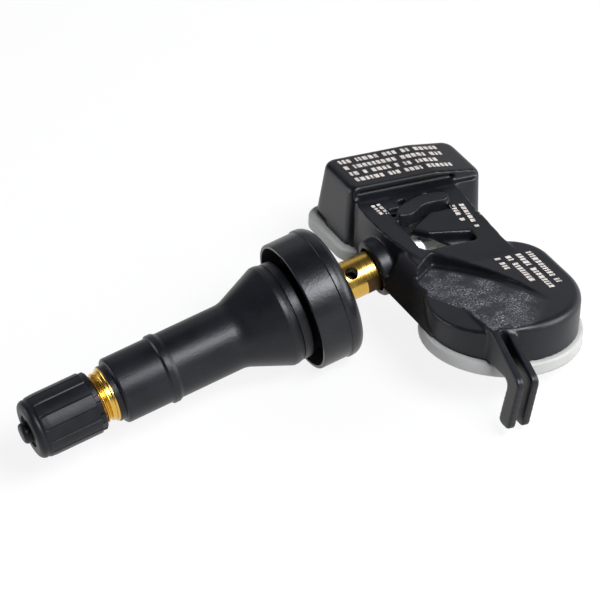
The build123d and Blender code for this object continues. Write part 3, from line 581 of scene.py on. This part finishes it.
def makeStem(sizes):
    threadStart = sizes["tip"] + sizes["chamfer"]
    threadEnd = sizes["shoulder"] - sizes["pitch"] / 2
    shoulderRear = sizes["shoulder"] + sizes["shoulderWidth"]

    def threaded(x, radius, angle):
        if abs(radius - sizes["threadRadius"]) > tiny or not sizes["tip"] < x < sizes["shoulder"]:
            return radius
        turns = (x - sizes["tip"]) / sizes["pitch"] - angle / (2 * math.pi)
        flank = 0.5 - 0.5 * math.cos(2 * math.pi * turns)
        fade = min(1.0, max(0.0, (threadEnd - x) / (sizes["pitch"] / 2)))
        return radius - sizes["threadDepth"] * flank * fade

    count = round((sizes["shoulder"] - threadStart) / sizes["pitch"] * sizes["perTurn"])
    thread = [
        (threadStart + (sizes["shoulder"] - threadStart) * step / count, sizes["threadRadius"])
        for step in range(count + 1)
    ]
    path = [
        (sizes["airEnd"], 0), (sizes["airEnd"], sizes["airBore"]), (sizes["seatEnd"], sizes["airBore"]),
        (sizes["seatEnd"], sizes["seatBore"]), (sizes["seat"] + sizes["seatCone"], sizes["seatBore"]),
        (sizes["seat"], sizes["mouthBore"]), (sizes["tip"], sizes["mouthBore"]),
        (sizes["tip"], sizes["threadRadius"] - sizes["chamfer"]), *thread,
        (sizes["shoulder"], sizes["shoulderRadius"] - sizes["shoulderEdge"]),
        (sizes["shoulder"] + sizes["shoulderEdge"], sizes["shoulderRadius"]),
        (shoulderRear, sizes["shoulderRadius"]), (shoulderRear, sizes["barrelRadius"]),
        (sizes["barrelEnd"], sizes["barrelRadius"]), (sizes["barrelEnd"], sizes["tailRadius"]),
        (sizes["tailEnd"] - sizes["tailChamfer"], sizes["tailRadius"]),
        (sizes["tailEnd"], sizes["tailRadius"] - sizes["tailChamfer"]),
        (sizes["tailEnd"], sizes["screwBore"]), (sizes["screwEnd"], sizes["screwBore"]),
        (sizes["screwEnd"], 0),
    ]
    blank = bpy.data.objects.new("stem_blank", turnProfile(path, sizes["segments"], threaded))
    bpy.context.scene.collection.objects.link(blank)
    tool = stemCutter(sizes)
    cut = blank.modifiers.new("cuts", "BOOLEAN")
    cut.operation = "DIFFERENCE"
    cut.solver = "EXACT"
    cut.object = tool
    mesh = evaluatedMesh(blank)
    bpy.data.objects.remove(tool)
    smoothShade(mesh, sizes["sharpDegrees"])
    stem = addPiece("threaded_stem", mesh, "sensor", brassTurned, "valve_stem")
    # Second material: brass painted dark brown, as shade in the bores and as a dark reflection on the flats
    mesh.materials.append(brassDrilledShade)
    # On the tail, faces that lie under its turned surface are the bores and the flats; they get the brass
    # painted dark as shade
    inside = (sizes["tailRadius"] - sizes["boreSkin"]) * mm
    for face in mesh.polygons:
        if math.hypot(face.center.y, face.center.z) < inside and face.center.x > sizes["barrelEnd"] * mm:
            face.material_index = 1
    return stem


makeStem(stemSizes)


def softOutline(points, rounds=3):
    # Cuts the corners of a closed outline until it runs smoothly
    for _ in range(rounds):
        pairs = list(zip(points, points[1:] + points[:1]))
        points = [
            tuple(first[axis] + (second[axis] - first[axis]) * share for axis in (0, 1))
            for first, second in pairs for share in (0.25, 0.75)
        ]
    return points


def addPrism(shape, outline, heights):
    # Closed block on an outline of (along, across), between two heights over the deck's plane
    low, high = [
        [shape.verts.new((along, across, height)) for along, across in outline]
        for height in heights
    ]
    shape.faces.new(low[::-1])
    shape.faces.new(high)
    for index in range(len(outline)):
        other = (index + 1) % len(outline)
        shape.faces.new((low[index], low[other], high[other], high[index]))


def addTrough(shape, look):
    # Hollow wall that curves down and outwards from the tongue's near edge, opening out along it
    rings = []
    for step in range(look["steps"] + 1):
        share = step / look["steps"]
        along, across = [first + (last - first) * share for first, last in zip(look["start"], look["end"])]
        sweep = math.radians(look["sweep"][0] + (look["sweep"][1] - look["sweep"][0]) * share)
        ring = []
        inside = [(look["radius"], turn) for turn in range(look["steps"] + 1)]
        outside = [(look["radius"] + look["wall"], turn) for turn in range(look["steps"], -1, -1)]
        for radius, turn in inside + outside:
            angle = sweep * turn / look["steps"]
            side = across - look["radius"] + radius * math.cos(angle)
            ring.append(shape.verts.new((along, side, look["height"] - radius * math.sin(angle))))
        rings.append(ring)
    shape.faces.new(rings[0])
    shape.faces.new(rings[-1][::-1])
    count = len(rings[0])
    for first, second in zip(rings, rings[1:]):
        for index in range(count):
            other = (index + 1) % count
            shape.faces.new((first[index], second[index], second[other], first[other]))


weldGap = 1e-4  # mm within which a solid's vertices are one


def mouldedCopy(node, sizes, additions=None, cuts=None):
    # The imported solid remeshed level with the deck, in mm, so that its edges come out rounded
    mesh = nodes[node].data.copy()
    mesh.transform(Matrix.Scale(1 / mm, 4) @ deckTurn.inverted())
    weld = bmesh.new()
    weld.from_mesh(mesh)
    bmesh.ops.remove_doubles(weld, verts=weld.verts, dist=weldGap)
    weld.to_mesh(mesh)
    weld.free()
    blank = bpy.data.objects.new(node + "_blank", mesh)
    bpy.context.scene.collection.objects.link(blank)
    tools = []
    for operation, shape in (("DIFFERENCE", cuts), ("UNION", additions)):
        if shape is None:
            continue
        bmesh.ops.recalc_face_normals(shape, faces=shape.faces)
        tool = bpy.data.objects.new("tool", bpy.data.meshes.new("tool"))
        shape.to_mesh(tool.data)
        shape.free()
        bpy.context.scene.collection.objects.link(tool)
        step = blank.modifiers.new(operation, "BOOLEAN")
        step.operation = operation
        step.solver = "EXACT"
        step.object = tool
        tools.append(tool)
    remesh = blank.modifiers.new("moulding", "REMESH")
    remesh.mode = "VOXEL"
    remesh.voxel_size = sizes["voxelMm"]
    soften = blank.modifiers.new("edges", "SMOOTH")
    soften.factor = 0.5
    soften.iterations = sizes["softening"]
    mesh = evaluatedMesh(blank)
    for tool in tools:
        bpy.data.objects.remove(tool)
    return mesh


# Housing: battery disc, waist, box, collar and fork in one moulding, with the gritty patch on the disc
housingSizes = {
    "voxelMm": 0.235, "softening": 3,
    "patchAlong": 28.5, "patchAcross": -25.9, "patchHeight": 9.2, "patchTurn": 138.5, "patchSlope": 5.4,
    "patchBow": (11.5, -5.8), "patchFarEnd": (19.4, -7.0), "footGap": 0.9, "footFade": 0.8,
    "patchNear": 0.12, "patchEnd": 0.4, "patchFade": 3.0, "patchLevel": 0.97, "levelFade": 0.02,
    "gritMm": 0.7, "gritHeightMm": 0.08,
}
# Small forms of the moulding, in deck mm: outlines of (along, across) with the heights between which they lie
bossPad = {
    "outline": [
        (17.6, 1.8), (18.6, 3.5), (22.4, 5.4), (24.7, 5.8), (27.7, 5.5),
        (27.9, 4.2), (26.7, 2.8), (23.0, 3.3), (20.1, 0.8), (17.9, 1.0),
    ],
    "heights": (9.0, 11.3),
}
troughWall = {
    "start": (20.6, -2.9), "end": (27.2, -4.5), "height": 9.3,
    "radius": 2.4, "wall": 0.7, "sweep": (12.0, 80.0), "steps": 10,
}
mouldCuts = {
    "boxGroove": {"outline": [(14.0, 7.0), (31.2, 7.0), (30.6, 9.0), (14.6, 9.0)], "heights": (11.15, 12.05)},
    "tongueTip": {"outline": [(18.2, -0.7), (18.2, -3.6), (21.2, -3.6)], "heights": (8.3, 12.0)},
    "farNotch": {"outline": [(24.3, 5.3), (25.4, 5.3), (25.4, 6.4), (24.3, 6.4)], "heights": (10.2, 12.0)},
    "frontNotch": {"outline": [(20.0, 4.9), (21.2, 5.4), (20.9, 6.2), (19.7, 5.7)], "heights": (9.6, 12.0)},
    "endNotch": {"outline": [(26.8, 2.9), (28.2, 3.5), (28.0, 4.1), (26.6, 3.6)], "heights": (10.4, 12.0)},
    "nearLegRoot": {
        "outline": [(16.2, -27.8), (18.3, -27.8), (18.3, -30.4), (16.2, -30.4)], "heights": (8.65, 10.0),
    },
    "farLegRoot": {
        "outline": [(18.5, -27.8), (20.5, -27.8), (20.5, -30.4), (18.5, -30.4)], "heights": (8.85, 10.0),
    },
    "nearStep": {"outline": [(12.5, 5.0), (13.5, 5.0), (13.5, 8.6), (12.5, 8.6)], "heights": (3.0, 4.1)},
    "farStep": {"outline": [(12.5, 15.3), (13.5, 15.3), (13.5, 21.0), (12.5, 21.0)], "heights": (3.0, 4.1)},
}


def makeHousing(sizes):
    additions, cuts = bmesh.new(), bmesh.new()
    addPrism(additions, softOutline(bossPad["outline"]), bossPad["heights"])
    addTrough(additions, troughWall)
    for look in mouldCuts.values():
        addPrism(cuts, look["outline"], look["heights"])
    mesh = mouldedCopy("sensor_housing", sizes, additions, cuts)
    patch = (
        Matrix.Translation((sizes["patchAlong"], sizes["patchAcross"], sizes["patchHeight"]))
        @ Matrix.Rotation(math.radians(sizes["patchTurn"]), 4, "Z")
        @ Matrix.Rotation(math.radians(sizes["patchSlope"]), 4, "Y")
    )
    toPatch = patch.inverted()
    up = patch.to_3x3() @ Vector((0, 0, 1))
    # The ridge's foot runs as a parabola through the patch's bow and its far end
    (bowAt, bow), (endAt, end) = sizes["patchBow"], sizes["patchFarEnd"]
    bend = (end / endAt - bow / bowAt) / (endAt - bowAt)
    lean = bow / bowAt - bend * bowAt
    grit = mesh.attributes.new("grit", "FLOAT", "POINT")
    for vertex in mesh.vertices:
        inPatch = toPatch @ vertex.co
        level = vertex.normal.dot(up)
        offLevel = level - sizes["patchLevel"]
        offEnd = inPatch.x - sizes["patchEnd"]
        offFoot = inPatch.y - inPatch.x * (lean + bend * inPatch.x) - sizes["footGap"]
        if abs(inPatch.z) < sizes["patchNear"] and min(offLevel, offEnd, offFoot) > 0:
            fades = (offLevel / sizes["levelFade"], offEnd / sizes["patchFade"], offFoot / sizes["footFade"])
            share = min(1.0, *fades)
            grit.data[vertex.index].value = share
            rough = noise.fractal(vertex.co / sizes["gritMm"], 1.0, 2.0, 3)
            vertex.co += up * rough * sizes["gritHeightMm"] * share
    mesh.transform(deckTurn @ Matrix.Scale(mm, 4))
    mesh.shade_smooth()
    return addPiece("housing_shell", mesh, "sensor", housingSkin, "sensor_housing")


housing = makeHousing(housingSizes)

# Pale cover under the housing
coverSizes = {"voxelMm": 0.25, "softening": 3}


def makeCover(sizes):
    mesh = mouldedCopy("base_cover", sizes)
    mesh.transform(deckTurn @ Matrix.Scale(mm, 4))
    mesh.shade_smooth()
    return addPiece("pale_cover", mesh, "sensor", coverSkin, "base_cover")


makeCover(coverSizes)

# Plain pale blocks in rows where the housing is marked: (along, across) of the first row, in deck mm
boxMarks = {
    "name": "box_marks", "start": (15.2, 15.7), "turn": 0.0, "pitch": 1.9, "runs": (16.5, 17.0, 14.5, 16.0),
    "height": 1.05, "seed": 3,
}
discMarks = {
    "name": "disc_marks", "start": (31.8, -12.4), "turn": -90.0, "pitch": 1.75, "runs": (9.0, 10.5, 7.0, 3.6),
    "height": 0.9, "seed": 8,
}
waistMarks = {
    "name": "waist_marks", "start": (28.5, 2.3), "turn": -95.0, "pitch": 1.45, "runs": (6.4, 4.8),
    "height": 0.75, "seed": 5,
}
ledgeMarks = {
    "name": "ledge_marks", "start": (16.6, 6.3), "turn": -84.0, "pitch": 0.95, "runs": (2.6, 2.8),
    "height": 0.55, "seed": 11,
}
markSizes = {
    "thickness": 0.02, "sunk": 0.05, "narrow": 0.3, "wide": 0.75,
    "gap": 0.25, "wordGap": 0.9, "wordShare": 0.2, "dropFrom": 30.0,
}


def layMarks(marks, sizes, surface):
    draw = random.Random(marks["seed"])
    tree = BVHTree.FromPolygons(
        [vertex.co for vertex in surface.data.vertices],
        [polygon.vertices for polygon in surface.data.polygons],
    )
    down = deckTurn.to_3x3() @ Vector((0, 0, -1))
    turn = Matrix.Rotation(math.radians(marks["turn"]), 2)
    shape = bmesh.new()
    for row, length in enumerate(marks["runs"]):
        run = 0.0
        while run < length:
            width = draw.uniform(sizes["narrow"], sizes["wide"])
            top, bottom = [], []
            for dx, dy in ((0, 0), (width, 0), (width, marks["height"]), (0, marks["height"])):
                corner = Vector(marks["start"]) + turn @ Vector((run + dx, dy - row * marks["pitch"]))
                place = Vector((*corner, sizes["dropFrom"]))
                hit = tree.ray_cast(deckTurn @ (place * mm), down)[0]
                top.append(shape.verts.new(hit - down * sizes["thickness"] * mm))
                bottom.append(shape.verts.new(hit + down * sizes["sunk"] * mm))
            shape.faces.new(top)
            shape.faces.new(bottom[::-1])
            for side in range(4):
                other = (side + 1) % 4
                shape.faces.new((top[side], bottom[side], bottom[other], top[other]))
            run += width + (sizes["wordGap"] if draw.random() < sizes["wordShare"] else sizes["gap"])
    bmesh.ops.recalc_face_normals(shape, faces=shape.faces)
    mesh = bpy.data.meshes.new(marks["name"])
    shape.to_mesh(mesh)
    shape.free()
    return addPiece(marks["name"], mesh, "sensor", markFoam)


for marks in (boxMarks, discMarks, waistMarks, ledgeMarks):
    layMarks(marks, markSizes, housing)


def makeSpring():
    mesh = nodes["core_spring"].data.copy()
    spring = addPiece("coil_spring", mesh, "sensor", steelPlated, "core_spring")
    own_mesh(spring)


makeSpring()

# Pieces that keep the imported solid's own mesh
nodeSkins = {
    "cap_seal": sealRubber, "core_gasket": sealRubber, "core_cup_seal": sealRubber, "port_seal": sealRubber,
    "core_body": brassTurned, "core_pin": brassTurned, "antenna_strip": brassTurned,
    "fixing_screw": steelPlated, "coin_cell": steelPlated,
    "positive_tab": steelPlated, "negative_tab": steelPlated, "crystal": steelPlated,
    "circuit_board": boardMask, "sensor_chip": chipEpoxy, "lf_coil": coilWire, "smd_capacitors": ceramicFired,
}
for node, skin in nodeSkins.items():
    nodes[node].data.materials.clear()
    nodes[node].data.materials.append(skin)
print("packed solids dressed:", len(nodeSkins))

# Pale floor under the lowest point; it glows for the camera and for reflections, and keeps the shadow
floorLook = {"colour": "#f7f7f7", "glow": 0.86, "size": 6.0}


def makeFloor(look):
    material = bpy.data.materials.new("Painted board, matt white")
    material.use_nodes = True
    tree = material.node_tree
    tree.nodes.clear()
    path = addNode(tree, "ShaderNodeLightPath").outputs
    seen = addNode(tree, "ShaderNodeMath", {"operation": "ADD"}, {
        0: path["Is Camera Ray"],
        1: path["Is Glossy Ray"],
    })
    seen = addNode(tree, "ShaderNodeMath", {"operation": "ADD", "use_clamp": True}, {
        0: seen.outputs["Value"],
        1: path["Is Transmission Ray"],
    })
    share = addNode(tree, "ShaderNodeMath", {
        "operation": "MULTIPLY",
        1: look["glow"],
    }, {0: seen.outputs["Value"]})
    paint = addNode(tree, "ShaderNodeBsdfDiffuse", {"Color": hexColour(look["colour"])})
    glow = addNode(tree, "ShaderNodeEmission", {"Color": (1, 1, 1, 1), "Strength": 1.0})
    both = addNode(tree, "ShaderNodeMixShader", links={
        0: share.outputs["Value"],
        1: paint.outputs["BSDF"],
        2: glow.outputs["Emission"],
    })
    addNode(tree, "ShaderNodeOutputMaterial", links={"Surface": both.outputs["Shader"]})
    half = look["size"] / 2
    level = cadBox[0][2]
    mesh = bpy.data.meshes.new("floor")
    corners = [(-half, -half, level), (half, -half, level), (half, half, level), (-half, half, level)]
    mesh.from_pydata(corners, [], [(0, 1, 2, 3)])
    mesh.materials.append(material)
    floor = bpy.data.objects.new("floor", mesh)
    bpy.context.scene.collection.objects.link(floor)


makeFloor(floorLook)

# Studio: white at the horizon, dimmer overhead and to the left, with soft boxes round the object
worldLook = {"horizon": 0.9, "zenith": 0.08, "low": 0.03, "high": 0.24, "left": 0.3, "leftSpan": (-0.7, 0.1)}
softBoxes = {
    "keyBox": {
        "towards": (0.28, -0.7, 0.78), "distance": 0.55, "size": (0.26, 0.18), "power": 3.7,
        "colour": "#f6f8ff",
    },
    "leftBox": {
        "towards": (-0.8, 0.55, 0.3), "distance": 0.6, "size": (0.3, 0.3), "power": 1.3,
        "colour": "#f8f9ff",
    },
    "backBox": {
        "towards": (0.35, 0.8, 0.6), "distance": 0.7, "size": (0.6, 0.4), "power": 0.4,
        "colour": "#f6f8ff",
    },
    "rightBox": {
        "towards": (0.95, -0.5, 0.35), "distance": 0.6, "size": (0.4, 0.3), "power": 3.0,
        "colour": "#ffffff",
    },
}


def lightStudio(world, boxes):
    studio = bpy.data.worlds.new("studio")
    studio.use_nodes = True
    tree = studio.node_tree
    tree.nodes.clear()
    place = addNode(tree, "ShaderNodeTexCoord").outputs["Generated"]
    towards = addNode(tree, "ShaderNodeSeparateXYZ", links={"Vector": place}).outputs
    level = addNode(tree, "ShaderNodeMapRange", {
        "interpolation_type": "SMOOTHSTEP",
        "From Min": world["low"], "From Max": world["high"],
        "To Min": world["horizon"], "To Max": world["zenith"],
    }, {"Value": towards["Z"]})
    shade = addNode(tree, "ShaderNodeMapRange", {
        "From Min": world["leftSpan"][0], "From Max": world["leftSpan"][1],
        "To Min": world["left"], "To Max": 1.0,
    }, {"Value": towards["X"]})
    sky = addNode(tree, "ShaderNodeBackground", links={
        "Color": level.outputs["Result"],
        "Strength": shade.outputs["Result"],
    })
    addNode(tree, "ShaderNodeOutputWorld", links={"Surface": sky.outputs["Background"]})
    bpy.context.scene.world = studio
    for name, look in boxes.items():
        light = bpy.data.lights.new(name, "AREA")
        light.shape = "RECTANGLE"
        light.size, light.size_y = look["size"]
        light.energy = look["power"]
        light.color = hexColour(look["colour"])[:3]
        lamp = bpy.data.objects.new(name, light)
        towards = Vector(look["towards"]).normalized()
        facing = towards.to_track_quat("Z", "Y").to_matrix().to_4x4()
        lamp.matrix_world = Matrix.Translation(towards * look["distance"]) @ facing
        bpy.context.scene.collection.objects.link(lamp)


lightStudio(worldLook, softBoxes)

# Camera: degrees, mm, and the aim's offset to the right and up in the picture
cameraLook = {
    "azimuth": -18.19, "elevation": 36.77, "roll": -14.12,
    "distance": 500.0, "lens": 202.95, "aim": (1.19, 1.07),
}


def placeCamera(look):
    turn = (
        Matrix.Rotation(math.radians(look["azimuth"]), 4, "Z")
        @ Matrix.Rotation(math.radians(90 - look["elevation"]), 4, "X")
        @ Matrix.Rotation(math.radians(look["roll"]), 4, "Z")
    )
    lens = bpy.data.cameras.new("camera")
    lens.lens = look["lens"]
    lens.sensor_width = 36.0
    lens.clip_start = 0.01
    camera = bpy.data.objects.new("camera", lens)
    camera.matrix_world = turn @ Matrix.Translation(Vector((*look["aim"], look["distance"])) * mm)
    bpy.context.scene.collection.objects.link(camera)
    bpy.context.scene.camera = camera


placeCamera(cameraLook)
bpy.context.scene.view_settings.view_transform = "Standard"
print("studio set")
